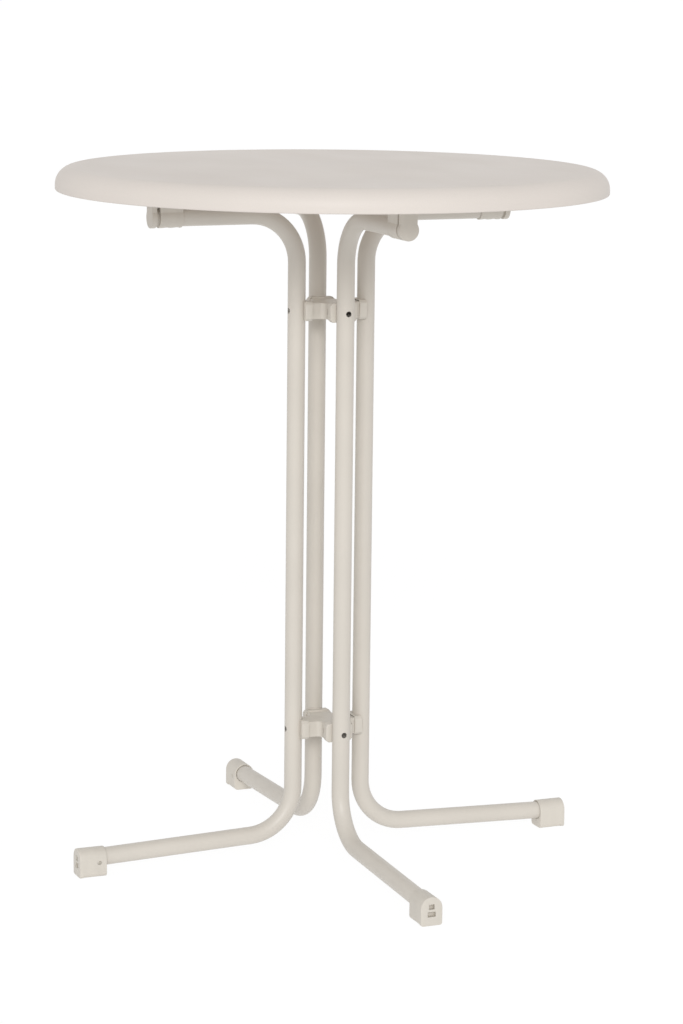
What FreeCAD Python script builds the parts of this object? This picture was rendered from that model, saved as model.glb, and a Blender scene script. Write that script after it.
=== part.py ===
import FreeCAD, Part
import math
import os
import re

import Sketcher
from FreeCAD import Placement, Rotation, Vector

# Bar table: a round top on four bent tubes that stand together as a column.
# Millimetres. +Z is up, the origin is on the floor under the middle of the top.
# Every quarter piece is drawn reaching along +X and then turned to its own side.

# The four sides of the table and the turn that takes +X to each of them
SIDES = (("right", 0), ("rear", 90), ("left", 180), ("front", 270))
HUBS = (("upper", "(table_height - upper_hub_drop)"), ("lower", "lower_hub_level"))
SAME_PLACE = 0.01  # two places this near to each other count as one

doc = FreeCAD.newDocument("bar_table")
sheet = doc.addObject("Spreadsheet::Sheet", "sizes")

# Driving dimensions: name, value, what it measures
SIZES = (
    ("table_height", 1100, "floor to the upper face of the top"),
    ("top_diameter", 860, "outer diameter of the top"),
    ("top_thickness", 36, "thickness of the top"),
    ("top_edge_round", 28, "rounding of the upper edge of the top"),
    ("top_lower_round", 2, "rounding of the lower edge of the top"),
    ("tube_diameter", 28, "outer diameter of the tubes"),
    ("tube_wall", 1.5, "wall of the tubes"),
    ("bend_radius", 75, "bend of a tube, on its centre line"),
    ("upright_radius", 58.5, "axis of the table to the centre of an upright"),
    ("leg_slope", 1.9, "fall of a leg towards the foot, in degrees"),
    ("fit_gap", 0.25, "clearance round a tube or a shank"),
    ("holder_reach", 300, "axis of the table to the outer end of a holder"),
    ("holder_length", 50, "length of a holder"),
    ("holder_rise", 36, "centre of an arm to the underside of the top"),
    ("holder_neck", 27, "width of the block between sleeve and top"),
    ("holder_plate", 8, "end plate of a holder, outside its groove"),
    ("holder_groove", 5, "groove behind the end plate"),
    ("holder_core", 24, "core left inside the groove"),
    ("holder_web", 2, "wall between the groove and the end of an arm"),
    ("holder_sleeve", 32, "outside of the holder sleeves"),
    ("holder_bolt_in", 9, "inner end of a holder to its first bolt"),
    ("holder_bolt_pitch", 16, "first to second bolt of a holder"),
    ("holder_bolt_size", 6, "shank of a holder bolt"),
    ("holder_bolt_head", 11, "head diameter of a holder bolt"),
    ("holder_bolt_head_height", 3.5, "head height of a holder bolt"),
    ("holder_access", 12, "hole in the underside of an arm for a bolt head"),
    ("insert_diameter", 10, "outside of a threaded insert"),
    ("insert_length", 15, "length of a threaded insert"),
    ("insert_clear", 1, "free depth beyond an insert"),
    ("bolt_tip", 1, "tip of a holder bolt to the end of its insert"),
    ("foot_reach", 421, "axis of the table to the outer end of a foot"),
    ("foot_width", 35, "width of a foot cap"),
    ("foot_length", 44, "length of a foot cap"),
    ("foot_plate", 6, "end plate of a foot cap"),
    ("foot_level", 27, "floor to the centre of a leg end"),
    ("foot_end_wall", 12, "end of a leg to the outer end of its foot"),
    ("foot_corner", 6, "rounded lower corners of a foot cap"),
    ("foot_plate_corner", 4, "rounded lower corners of the end plate"),
    ("foot_mouth", 0.8, "extra radius of the mouth round the leg"),
    ("foot_mouth_depth", 1.5, "depth of that mouth"),
    ("foot_pocket_depth", 7, "depth of the two pockets in the end plate"),
    ("foot_lower_pocket", 13, "width of the lower pocket"),
    ("foot_upper_pocket", 9, "width of the upper pocket"),
    ("foot_pocket_height", 8, "height of each pocket"),
    ("foot_rib", 3.5, "rib between the two pockets"),
    ("foot_screw_in", 32, "outer end of a foot to its screw"),
    ("foot_screw_drop", 4, "centre of the leg end down to the screw"),
    ("foot_screw_size", 3.5, "shank of a foot screw"),
    ("foot_screw_head", 6, "head diameter of a foot screw"),
    ("foot_screw_head_height", 1.8, "head height of a foot screw"),
    ("foot_screw_length", 6, "shank length of a foot screw"),
    ("upper_hub_drop", 222, "upper face of the top to the middle of the upper hub"),
    ("lower_hub_level", 207, "floor to the middle of the lower hub"),
    ("hub_height", 25, "height of the hub arms"),
    ("hub_arm_width", 38, "width of the hub arms"),
    ("hub_corner", 8, "hollow rounding between two hub arms"),
    ("saddle_width", 44, "width of the saddle at the end of an arm"),
    ("saddle_height", 30, "height of the saddle"),
    ("saddle_thickness", 12, "thickness of the saddle"),
    ("saddle_chamfer", 4, "cut corners of the saddle"),
    ("saddle_clear", 7, "centre of an upright to the open side of its saddle"),
    ("hub_core", 22, "hollow in the underside of a hub"),
    ("hub_core_depth", 16, "depth of that hollow"),
    ("hub_bolt_size", 5, "shank of a hub bolt"),
    ("hub_bolt_head", 8.5, "head diameter of a hub bolt"),
    ("hub_bolt_head_height", 5, "head height of a hub bolt"),
    ("hub_bolt_socket", 4, "key size of the socket in a hub bolt"),
    ("hub_bolt_socket_depth", 2.5, "depth of that socket"),
    ("hub_bolt_length", 20, "shank length of a hub bolt"),
    ("hub_drill_clear", 1, "free depth beyond the tip of a hub bolt"),
    ("access_hole", 9, "hole in the outer wall of a tube for a bolt head"),
    ("nut_width", 8, "width of a hub nut across its flats"),
    ("nut_thickness", 4, "thickness of a hub nut"),
    ("nut_radius", 33, "axis of the table to the middle of a hub nut"),
)
ALIASES = {name for name, value, note in SIZES}

for row, (name, value, note) in enumerate(SIZES, start=1):
    sheet.set(f"A{row}", name)
    sheet.set(f"B{row}", str(value))
    sheet.set(f"C{row}", note)
    sheet.setAlias(f"B{row}", name)
doc.recompute()

# Levels and places that follow from the driving dimensions
ARM_LEVEL = "(table_height - top_thickness - holder_rise)"
UNDERSIDE = "(table_height - top_thickness)"
HOLDER_START = "(holder_reach - holder_length)"
ARM_END = "(holder_reach - holder_plate - holder_groove - holder_web)"
LEG_END = "(foot_reach - foot_end_wall)"
FOOT_START = "(foot_reach - foot_length)"
HOLDER_RADIUS = "(holder_sleeve / 2)"
FOOT_RADIUS = "(foot_width / 2)"
TUBE_RADIUS = "(tube_diameter / 2)"
TUBE_INSIDE = "(tube_diameter / 2 - tube_wall)"
BORE_RADIUS = "(tube_diameter / 2 + fit_gap)"
FIRST_BOLT = f"({HOLDER_START} + holder_bolt_in)"
SECOND_BOLT = f"({HOLDER_START} + holder_bolt_in + holder_bolt_pitch)"
SADDLE_OUTER = "(upright_radius - saddle_clear)"
SADDLE_INNER = f"({SADDLE_OUTER} - saddle_thickness)"
SCREW_X = "(foot_reach - foot_screw_in)"
SCREW_Z = "(foot_level - foot_screw_drop)"
SCREW_SEAT = "-(foot_width / 2 - foot_screw_head_height)"

# Flat bolt heads in round tubes rest with their edges on the inside of the wall.
ARM_SEAT = f"({ARM_LEVEL} + sqrt({TUBE_INSIDE}^2 - (holder_bolt_head / 2)^2) - fit_gap)"
HEAD_SEAT = f"(upright_radius - sqrt({TUBE_INSIDE}^2 - (hub_bolt_head / 2)^2) + fit_gap)"
HUB_BOLT_TIP = f"({HEAD_SEAT} - hub_bolt_length)"


def cells(text):
    """Turn the sheet's names in an expression into references to its cells."""
    def refer(word):
        return f"sizes.{word[0]}" if word[0] in ALIASES else word[0]
    return re.sub(r"[a-z][a-z_]*", refer, text)


def value_of(text):
    """Number that an expression stands for now, used for the first draft of a sketch."""
    total = sheet.evalExpression(cells(text))
    return float(getattr(total, "Value", total))


def bind(item, prop, text):
    item.setExpression(prop, cells(text))


def new_body(label, turn=0):
    body = doc.addObject("PartDesign::Body", label)
    body.Label = label
    body.AllowCompound = True
    body.Placement = Placement(Vector(), Rotation(Vector(0, 0, 1), turn))
    return body


def origin_feature(body, role):
    return next(item for item in body.Origin.OriginFeatures if item.Role == role)


def new_sketch(body, name, plane, offset="0"):
    """Sketch on a plane of the body's own origin, moved along that plane's normal."""
    sketch = body.newObject("Sketcher::SketchObject", name)
    sketch.AttachmentSupport = (origin_feature(body, plane), "")
    sketch.MapMode = "FlatFace"
    bind(sketch, "AttachmentOffset.Base.z", offset)
    return sketch


def constrain(sketch, kind, *where, text=None):
    """Add a constraint; with text, a dimension whose size comes from the sheet."""
    if text is None:
        return sketch.addConstraint(Sketcher.Constraint(kind, *where))
    scale = math.pi / 180 if kind == "Angle" else 1
    index = sketch.addConstraint(Sketcher.Constraint(kind, *where, value_of(text) * scale))
    unit = " * 1 deg" if kind == "Angle" else ""
    sketch.setExpression(f"Constraints[{index}]", cells(text) + unit)
    return index


def place_point(sketch, curve, end, across, up):
    """Fix a point of a curve at a distance from the sketch's origin; text 0 means on the axis."""
    for kind, axis, text in (("DistanceX", -2, across), ("DistanceY", -1, up)):
        if text == "0":
            constrain(sketch, "PointOnObject", curve, end, axis)
        else:
            constrain(sketch, kind, -1, 1, curve, end, text=text)


def add_circle(sketch, across, up, radius):
    centre = Vector(value_of(across), value_of(up), 0)
    curve = sketch.addGeometry(Part.Circle(centre, Vector(0, 0, 1), value_of(radius)))
    constrain(sketch, "Radius", curve, text=radius)
    place_point(sketch, curve, 3, across, up)
    return curve


def add_polygon(sketch, places):
    """Closed outline of straight lines through corners given as pairs of expressions."""
    corners = [Vector(value_of(across), value_of(up)) for across, up in places]
    following = corners[1:] + corners[:1]
    lines = [sketch.addGeometry(Part.LineSegment(start, end)) for start, end in zip(corners, following)]
    for line, after in zip(lines, lines[1:] + lines[:1]):
        constrain(sketch, "Coincident", line, 2, after, 1)
    for line, (across, up) in zip(lines, places):
        place_point(sketch, line, 1, across, up)


def add_rectangle(sketch, left, low, right, high):
    add_polygon(sketch, ((left, low), (right, low), (right, high), (left, high)))


def extrude(body, kind, name, sketch, length, flip=False):
    """Pad along the sketch's normal, or pocket against it; flip turns the direction round."""
    feature = body.newObject(f"PartDesign::{kind}", name)
    feature.Profile = sketch
    feature.Reversed = flip
    bind(feature, "Length", length)
    return feature


def quarter_pattern(body, name, originals):
    """Repeat features at the four sides of the table."""
    pattern = body.newObject("PartDesign::PolarPattern", name)
    pattern.Originals = originals
    pattern.Axis = (origin_feature(body, "Z_Axis"), [""])
    pattern.Angle = 360
    pattern.Occurrences = len(SIDES)
    body.Tip = pattern
    return pattern


def make_top():
    body = new_body("table_top")
    profile = new_sketch(body, "top_profile", "XZ_Plane")
    radius, low, high = value_of("top_diameter / 2"), value_of(UNDERSIDE), value_of("table_height")
    upper, lower = value_of("top_edge_round"), value_of("top_lower_round")
    upper_arc = Part.Circle(Vector(radius - upper, high - upper, 0), Vector(0, 0, 1), upper)
    lower_arc = Part.Circle(Vector(radius - lower, low + lower, 0), Vector(0, 0, 1), lower)
    underside = profile.addGeometry(Part.LineSegment(Vector(0, low), Vector(radius - lower, low)))
    lower_edge = profile.addGeometry(Part.ArcOfCircle(lower_arc, 1.5 * math.pi, 2 * math.pi))
    rim = profile.addGeometry(Part.LineSegment(Vector(radius, low + lower), Vector(radius, high - upper)))
    upper_edge = profile.addGeometry(Part.ArcOfCircle(upper_arc, 0, math.pi / 2))
    face = profile.addGeometry(Part.LineSegment(Vector(radius - upper, high), Vector(0, high)))
    middle = profile.addGeometry(Part.LineSegment(Vector(0, high), Vector(0, low)))
    chain = (underside, lower_edge, rim, upper_edge, face)
    for curve, after in zip(chain, chain[1:]):
        constrain(profile, "Tangent", curve, 2, after, 1)
    constrain(profile, "Coincident", face, 2, middle, 1)
    constrain(profile, "Coincident", middle, 2, underside, 1)
    constrain(profile, "Horizontal", underside)
    constrain(profile, "Vertical", rim)
    constrain(profile, "Horizontal", face)
    place_point(profile, middle, 1, "0", "table_height")
    place_point(profile, middle, 2, "0", UNDERSIDE)
    constrain(profile, "Radius", lower_edge, text="top_lower_round")
    constrain(profile, "Radius", upper_edge, text="top_edge_round")
    constrain(profile, "DistanceX", -1, 1, rim, 1, text="top_diameter / 2")
    disc = body.newObject("PartDesign::Revolution", "top_disc")
    disc.Profile = profile
    disc.ReferenceAxis = (profile, ["V_Axis"])
    disc.Angle = 360

    holes = new_sketch(body, "insert_holes", "XY_Plane", UNDERSIDE)
    for place in (FIRST_BOLT, SECOND_BOLT):
        add_circle(holes, place, "0", "insert_diameter / 2 + fit_gap / 2")
    pocket = extrude(body, "Pocket", "insert_pocket", holes, "insert_length + insert_clear", flip=True)
    quarter_pattern(body, "insert_pockets", [pocket])
    return body


def make_inserts():
    body = new_body("top_inserts")
    rings = new_sketch(body, "insert_rings", "XY_Plane", UNDERSIDE)
    for place in (FIRST_BOLT, SECOND_BOLT):
        add_circle(rings, place, "0", "insert_diameter / 2")
        add_circle(rings, place, "0", "holder_bolt_size / 2 + fit_gap / 2")
    sleeves = extrude(body, "Pad", "insert_sleeves", rings, "insert_length")
    quarter_pattern(body, "inserts", [sleeves])
    return body


def drill_for_holder_bolts(body, label):
    """Holes for the two bolts of a holder: narrow above the middle of the arm, wide below it."""
    for name, radius, upward in (("drill", "holder_bolt_size / 2 + fit_gap", True),
                                 ("entry", "holder_access / 2", False)):
        holes = new_sketch(body, f"{label}_{name}_holes", "XY_Plane", ARM_LEVEL)
        for place in (FIRST_BOLT, SECOND_BOLT):
            add_circle(holes, place, "0", radius)
        extrude(body, "Pocket", f"{label}_{name}", holes, "holder_rise * 2", flip=upward)


def make_tube(label, turn):
    """Arm, bend, upright, bend and leg in one bent tube."""
    body = new_body(label, turn)
    reach, level, bend = value_of(ARM_END), value_of(ARM_LEVEL), value_of("bend_radius")
    upright, slope = value_of("upright_radius"), math.radians(value_of("leg_slope"))
    leg_end, leg_low = value_of(LEG_END), value_of("foot_level")
    middle = upright + bend
    leg_start = Vector(middle - bend * math.sin(slope), 0)
    leg_start.y = leg_low + (leg_end - leg_start.x) * math.tan(slope)
    lower_centre = leg_start.y + bend * math.cos(slope)

    path = new_sketch(body, f"{label}_path", "XZ_Plane")
    upper_circle = Part.Circle(Vector(middle, level - bend), Vector(0, 0, 1), bend)
    lower_circle = Part.Circle(Vector(middle, lower_centre), Vector(0, 0, 1), bend)
    arm = path.addGeometry(Part.LineSegment(Vector(reach, level), Vector(middle, level)))
    upper_bend = path.addGeometry(Part.ArcOfCircle(upper_circle, math.pi / 2, math.pi))
    column_line = Part.LineSegment(Vector(upright, level - bend), Vector(upright, lower_centre))
    column = path.addGeometry(column_line)
    lower_bend = path.addGeometry(Part.ArcOfCircle(lower_circle, math.pi, 1.5 * math.pi - slope))
    leg = path.addGeometry(Part.LineSegment(leg_start, Vector(leg_end, leg_low)))
    chain = (arm, upper_bend, column, lower_bend, leg)
    for curve, after in zip(chain, chain[1:]):
        constrain(path, "Tangent", curve, 2, after, 1)
    constrain(path, "Horizontal", arm)
    constrain(path, "Vertical", column)
    constrain(path, "Radius", upper_bend, text="bend_radius")
    constrain(path, "Radius", lower_bend, text="bend_radius")
    constrain(path, "DistanceX", -1, 1, column, 1, text="upright_radius")
    place_point(path, arm, 1, ARM_END, ARM_LEVEL)
    place_point(path, leg, 2, LEG_END, "foot_level")
    constrain(path, "Angle", leg, text="-leg_slope")

    section = new_sketch(body, f"{label}_section", "YZ_Plane", ARM_END)
    add_circle(section, "0", ARM_LEVEL, TUBE_RADIUS)
    add_circle(section, "0", ARM_LEVEL, TUBE_INSIDE)
    pipe = body.newObject("PartDesign::AdditivePipe", f"{label}_pipe")
    pipe.Profile = section
    pipe.Spine = (path, [f"Edge{number}" for number in range(1, len(chain) + 1)])

    for name, radius, outward in (("access", "access_hole / 2", True),
                                  ("bolt", "hub_bolt_size / 2 + fit_gap", False)):
        holes = new_sketch(body, f"{label}_{name}_holes", "YZ_Plane", "upright_radius")
        for hub, hub_level in HUBS:
            add_circle(holes, "0", hub_level, radius)
        extrude(body, "Pocket", f"{label}_{name}", holes, "tube_diameter", flip=outward)

    drill_for_holder_bolts(body, label)

    screw_hole = new_sketch(body, f"{label}_screw_hole", "XZ_Plane")
    add_circle(screw_hole, SCREW_X, SCREW_Z, "foot_screw_size / 2 + fit_gap / 2")
    extrude(body, "Pocket", f"{label}_screw_drill", screw_hole, "tube_diameter")
    return body


def add_keyhole(sketch, level, top):
    """Round sleeve with a narrower block rising from it to the top."""
    radius, half_neck = value_of(HOLDER_RADIUS), value_of("holder_neck / 2")
    centre_up, top_up = value_of(level), value_of(top)
    shoulder = math.asin(half_neck / radius)
    shoulder_up = centre_up + radius * math.cos(shoulder)
    circle = Part.Circle(Vector(0, centre_up), Vector(0, 0, 1), radius)
    sleeve_arc = Part.ArcOfCircle(circle, math.pi / 2 + shoulder, 2.5 * math.pi - shoulder)
    round_part = sketch.addGeometry(sleeve_arc)
    right = sketch.addGeometry(Part.LineSegment(Vector(half_neck, shoulder_up), Vector(half_neck, top_up)))
    across = sketch.addGeometry(Part.LineSegment(Vector(half_neck, top_up), Vector(-half_neck, top_up)))
    left = sketch.addGeometry(Part.LineSegment(Vector(-half_neck, top_up), Vector(-half_neck, shoulder_up)))
    chain = (round_part, right, across, left)
    for curve, after in zip(chain, chain[1:] + chain[:1]):
        constrain(sketch, "Coincident", curve, 2, after, 1)
    constrain(sketch, "Vertical", right)
    constrain(sketch, "Vertical", left)
    constrain(sketch, "Radius", round_part, text=HOLDER_RADIUS)
    place_point(sketch, round_part, 3, "0", level)
    place_point(sketch, across, 1, "holder_neck / 2", top)
    constrain(sketch, "Symmetric", across, 1, across, 2, -2)


def make_holder(label, turn):
    """Moulding that holds the end of an arm against the underside of the top."""
    body = new_body(label, turn)
    outline = new_sketch(body, f"{label}_outline", "YZ_Plane", HOLDER_START)
    add_keyhole(outline, ARM_LEVEL, UNDERSIDE)
    extrude(body, "Pad", f"{label}_block", outline, "holder_length")

    bore = new_sketch(body, f"{label}_bore", "YZ_Plane", HOLDER_START)
    add_circle(bore, "0", ARM_LEVEL, BORE_RADIUS)
    extrude(body, "Pocket", f"{label}_socket", bore, f"{ARM_END} - {HOLDER_START}", flip=True)

    groove = new_sketch(body, f"{label}_groove_outline", "YZ_Plane", "holder_reach - holder_plate")
    add_circle(groove, "0", ARM_LEVEL, "holder_core / 2")
    add_rectangle(groove, "-holder_sleeve", f"{ARM_LEVEL} - holder_sleeve",
                  "holder_sleeve", f"{UNDERSIDE} - holder_plate")
    extrude(body, "Pocket", f"{label}_groove", groove, "holder_groove")

    drill_for_holder_bolts(body, label)
    return body


def make_holder_bolts():
    """Bolts whose heads sit inside the arms."""
    body = new_body("holder_bolts")
    shank_outline = new_sketch(body, "holder_shank_outline", "XY_Plane", ARM_SEAT)
    head_outline = new_sketch(body, "holder_head_outline", "XY_Plane", ARM_SEAT)
    for place in (FIRST_BOLT, SECOND_BOLT):
        add_circle(shank_outline, place, "0", "holder_bolt_size / 2")
        add_circle(head_outline, place, "0", "holder_bolt_head / 2")
    heads = extrude(body, "Pad", "holder_heads", head_outline, "holder_bolt_head_height", flip=True)
    shank_length = f"{UNDERSIDE} - {ARM_SEAT} + insert_length - bolt_tip"
    shanks = extrude(body, "Pad", "holder_shanks", shank_outline, shank_length)
    quarter_pattern(body, "holder_bolt_set", [heads, shanks])
    return body


def add_arch(sketch, corner):
    """Foot section: flat base with rounded corners, upright sides and a round top."""
    radius, level, turn_in = value_of(FOOT_RADIUS), value_of("foot_level"), value_of(corner)
    top_circle = Part.Circle(Vector(0, level), Vector(0, 0, 1), radius)
    right_circle = Part.Circle(Vector(radius - turn_in, turn_in), Vector(0, 0, 1), turn_in)
    left_circle = Part.Circle(Vector(turn_in - radius, turn_in), Vector(0, 0, 1), turn_in)
    top = sketch.addGeometry(Part.ArcOfCircle(top_circle, 0, math.pi))
    left = sketch.addGeometry(Part.LineSegment(Vector(-radius, level), Vector(-radius, turn_in)))
    left_corner = sketch.addGeometry(Part.ArcOfCircle(left_circle, math.pi, 1.5 * math.pi))
    base = sketch.addGeometry(Part.LineSegment(Vector(turn_in - radius, 0), Vector(radius - turn_in, 0)))
    right_corner = sketch.addGeometry(Part.ArcOfCircle(right_circle, 1.5 * math.pi, 2 * math.pi))
    right = sketch.addGeometry(Part.LineSegment(Vector(radius, turn_in), Vector(radius, level)))
    chain = (top, left, left_corner, base, right_corner, right)
    for curve, after in zip(chain, chain[1:] + chain[:1]):
        constrain(sketch, "Tangent", curve, 2, after, 1)
    constrain(sketch, "Vertical", left)
    constrain(sketch, "Radius", top, text=FOOT_RADIUS)
    place_point(sketch, top, 3, "0", "foot_level")
    constrain(sketch, "PointOnObject", base, 1, -1)
    constrain(sketch, "Radius", left_corner, text=corner)
    constrain(sketch, "Equal", left_corner, right_corner)


def make_foot(label, turn):
    """Moulded foot on the end of a leg, with a flat base on the floor."""
    body = new_body(label, turn)
    outline = new_sketch(body, f"{label}_outline", "YZ_Plane", FOOT_START)
    add_arch(outline, "foot_corner")
    extrude(body, "Pad", f"{label}_block", outline, "foot_length")
    plate = new_sketch(body, f"{label}_plate_outline", "YZ_Plane", "foot_reach - foot_plate")
    add_arch(plate, "foot_plate_corner")
    extrude(body, "Pad", f"{label}_plate", plate, "foot_plate")

    # The socket follows the slope of the leg and ends where the leg ends.
    mouth_radius, mouth_end = f"{BORE_RADIUS} + foot_mouth", f"{FOOT_START} + foot_mouth_depth"
    for name, radius, start in (("socket", BORE_RADIUS, LEG_END), ("mouth", mouth_radius, mouth_end)):
        bore = new_sketch(body, f"{label}_{name}_outline", "YZ_Plane", start)
        bore.AttachmentOffset = Placement(Vector(), Rotation(Vector(1, 0, 0), value_of("leg_slope")))
        bind(bore, "AttachmentOffset.Base.y", f"foot_level + ({LEG_END} - {start}) * tan(leg_slope)")
        bind(bore, "AttachmentOffset.Base.z", start)
        bind(bore, "AttachmentOffset.Rotation.Angle", "leg_slope")
        add_circle(bore, "0", "0", radius)
        extrude(body, "Pocket", f"{label}_{name}", bore, "foot_length")

    pockets = new_sketch(body, f"{label}_pocket_outline", "YZ_Plane", "foot_reach")
    rib_top = "(foot_level - foot_rib / 2)"
    rib_low = f"({rib_top} - foot_rib)"
    add_rectangle(pockets, "-foot_upper_pocket / 2", rib_top,
                  "foot_upper_pocket / 2", f"{rib_top} + foot_pocket_height")
    add_rectangle(pockets, "-foot_lower_pocket / 2", f"{rib_low} - foot_pocket_height",
                  "foot_lower_pocket / 2", rib_low)
    extrude(body, "Pocket", f"{label}_pockets", pockets, "foot_pocket_depth")

    for name, radius, start in (("screw_drill", "foot_screw_size / 2 + fit_gap", "0"),
                                ("screw_seat", "foot_screw_head / 2 + fit_gap", SCREW_SEAT)):
        hole = new_sketch(body, f"{label}_{name}_outline", "XZ_Plane", start)
        add_circle(hole, SCREW_X, SCREW_Z, radius)
        extrude(body, "Pocket", f"{label}_{name}", hole, "foot_width")
    return body


def make_foot_screws():
    body = new_body("foot_cap_screws")
    head_outline = new_sketch(body, "foot_head_outline", "XZ_Plane", SCREW_SEAT)
    add_circle(head_outline, SCREW_X, SCREW_Z, "foot_screw_head / 2")
    head = extrude(body, "Pad", "foot_screw_heads", head_outline, "foot_screw_head_height", flip=True)
    shank_outline = new_sketch(body, "foot_shank_outline", "XZ_Plane", SCREW_SEAT)
    add_circle(shank_outline, SCREW_X, SCREW_Z, "foot_screw_size / 2")
    shank = extrude(body, "Pad", "foot_screw_shanks", shank_outline, "foot_screw_length")
    quarter_pattern(body, "foot_screw_set", [head, shank])
    return body


def add_octagon(sketch, level):
    """Rectangle with cut corners for a saddle."""
    side, inset = "saddle_width / 2", "(saddle_width / 2 - saddle_chamfer)"
    rise, shoulder = "saddle_height / 2", "(saddle_height / 2 - saddle_chamfer)"
    add_polygon(sketch, (
        (side, f"{level} + {shoulder}"), (inset, f"{level} + {rise}"),
        (f"-{inset}", f"{level} + {rise}"), (f"-{side}", f"{level} + {shoulder}"),
        (f"-{side}", f"{level} - {shoulder}"), (f"-{inset}", f"{level} - {rise}"),
        (inset, f"{level} - {rise}"), (side, f"{level} - {shoulder}")))


def hub_corner_edges(shape):
    """Names of the upright edges in the four hollow corners between the arms."""
    corner = value_of("hub_arm_width / 2")
    names = []
    for number, edge in enumerate(shape.Edges, start=1):
        middle = edge.CenterOfMass
        if all(math.isclose(abs(place), corner, abs_tol=SAME_PLACE) for place in (middle.x, middle.y)):
            names.append(f"Edge{number}")
    return names


def make_hub(label, level):
    """Cross of four arms, each ending in a saddle that hugs an upright."""
    body = new_body(label)
    low = f"{level} - hub_height / 2"
    for name, along, across in (("long", SADDLE_OUTER, "hub_arm_width / 2"),
                                ("cross", "hub_arm_width / 2", SADDLE_OUTER)):
        bar = new_sketch(body, f"{label}_{name}_outline", "XY_Plane", low)
        add_rectangle(bar, f"-{along}", f"-{across}", along, across)
        arms = extrude(body, "Pad", f"{label}_{name}_bar", bar, "hub_height")
    doc.recompute()
    corners = body.newObject("PartDesign::Fillet", f"{label}_corners")
    corners.Base = (arms, hub_corner_edges(arms.Shape))
    bind(corners, "Radius", "hub_corner")

    core = new_sketch(body, f"{label}_core_outline", "XY_Plane", low)
    add_circle(core, "0", "0", "hub_core / 2")
    extrude(body, "Pocket", f"{label}_core", core, "hub_core_depth", flip=True)

    octagon = new_sketch(body, f"{label}_saddle_outline", "YZ_Plane", SADDLE_INNER)
    add_octagon(octagon, level)
    saddle = extrude(body, "Pad", f"{label}_saddle", octagon, "saddle_thickness")
    seat = new_sketch(body, f"{label}_seat_outline", "XY_Plane", f"{level} - saddle_height")
    add_circle(seat, "upright_radius", "0", BORE_RADIUS)
    groove = extrude(body, "Pocket", f"{label}_seat", seat, "saddle_height * 2", flip=True)
    hole = new_sketch(body, f"{label}_hole_outline", "YZ_Plane", "upright_radius")
    add_circle(hole, "0", level, "hub_bolt_size / 2 + fit_gap")
    drill_depth = f"upright_radius - {HUB_BOLT_TIP} + hub_drill_clear"
    drill = extrude(body, "Pocket", f"{label}_drill", hole, drill_depth)
    slot_outline = new_sketch(body, f"{label}_slot_outline", "XZ_Plane", "-(nut_width / sqrt(3) + fit_gap)")
    half_slot, half_nut = "(nut_thickness / 2 + fit_gap)", "(nut_width / 2 + fit_gap)"
    add_rectangle(slot_outline, f"nut_radius - {half_slot}", f"{level} - {half_nut}",
                  f"nut_radius + {half_slot}", f"{level} + {half_nut}")
    slot = extrude(body, "Pocket", f"{label}_slot", slot_outline, "hub_arm_width", flip=True)
    quarter_pattern(body, f"{label}_sides", [saddle, groove, drill, slot])
    return body


def make_hub_bolts(label, level):
    """Cap screws whose heads sit inside the tubes."""
    body = new_body(label)
    parts = []
    for name, radius, length, flip in (("head", "hub_bolt_head / 2", "hub_bolt_head_height", False),
                                       ("shank", "hub_bolt_size / 2", "hub_bolt_length", True)):
        outline = new_sketch(body, f"{label}_{name}_outline", "YZ_Plane", HEAD_SEAT)
        add_circle(outline, "0", level, radius)
        parts.append(extrude(body, "Pad", f"{label}_{name}", outline, length, flip))
    socket = new_sketch(body, f"{label}_socket_outline", "YZ_Plane", f"{HEAD_SEAT} + hub_bolt_head_height")
    add_hexagon(socket, level, "hub_bolt_socket")
    parts.append(extrude(body, "Pocket", f"{label}_socket", socket, "hub_bolt_socket_depth"))
    quarter_pattern(body, f"{label}_set", parts)
    return body


def add_hexagon(sketch, level, width):
    """Regular hexagon of the width given across its flats, with a flat above and below."""
    side, inset = f"{width} / sqrt(3)", f"{width} / sqrt(12)"
    top, base = f"{level} + {width} / 2", f"{level} - {width} / 2"
    add_polygon(sketch, ((side, level), (inset, top), (f"-{inset}", top),
                         (f"-{side}", level), (f"-{inset}", base), (inset, base)))


def make_hub_nuts(label, level):
    body = new_body(label)
    outline = new_sketch(body, f"{label}_outline", "YZ_Plane", "nut_radius - nut_thickness / 2")
    add_hexagon(outline, level, "nut_width")
    add_circle(outline, "0", level, "hub_bolt_size / 2 + fit_gap / 2")
    nut = extrude(body, "Pad", f"{label}_nut", outline, "nut_thickness")
    quarter_pattern(body, f"{label}_set", [nut])
    return body


nodes = [make_top(), make_inserts(), make_holder_bolts(), make_foot_screws()]
for side, turn in SIDES:
    nodes.append(make_tube(f"column_tube_{side}", turn))
    nodes.append(make_holder(f"top_holder_{side}", turn))
    nodes.append(make_foot(f"foot_cap_{side}", turn))
for hub, hub_level in HUBS:
    nodes.append(make_hub(f"{hub}_hub", hub_level))
    nodes.append(make_hub_bolts(f"{hub}_hub_bolts", hub_level))
    nodes.append(make_hub_nuts(f"{hub}_hub_nuts", hub_level))
doc.recompute()

failed = [item.Label for item in doc.Objects if {"Invalid", "Error"} & set(item.State)]
if failed:
    raise RuntimeError(f"did not build: {failed}")
for item in doc.Objects:
    if item.TypeId == "PartDesign::Pocket" and item.Shape.Volume >= item.BaseFeature.Shape.Volume:
        raise RuntimeError(f"{item.Label} cuts nothing")
for node in nodes:
    if node.Shape.isNull() or not node.Shape.isValid():
        raise RuntimeError(f"{node.Label} has no valid shape")

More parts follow.
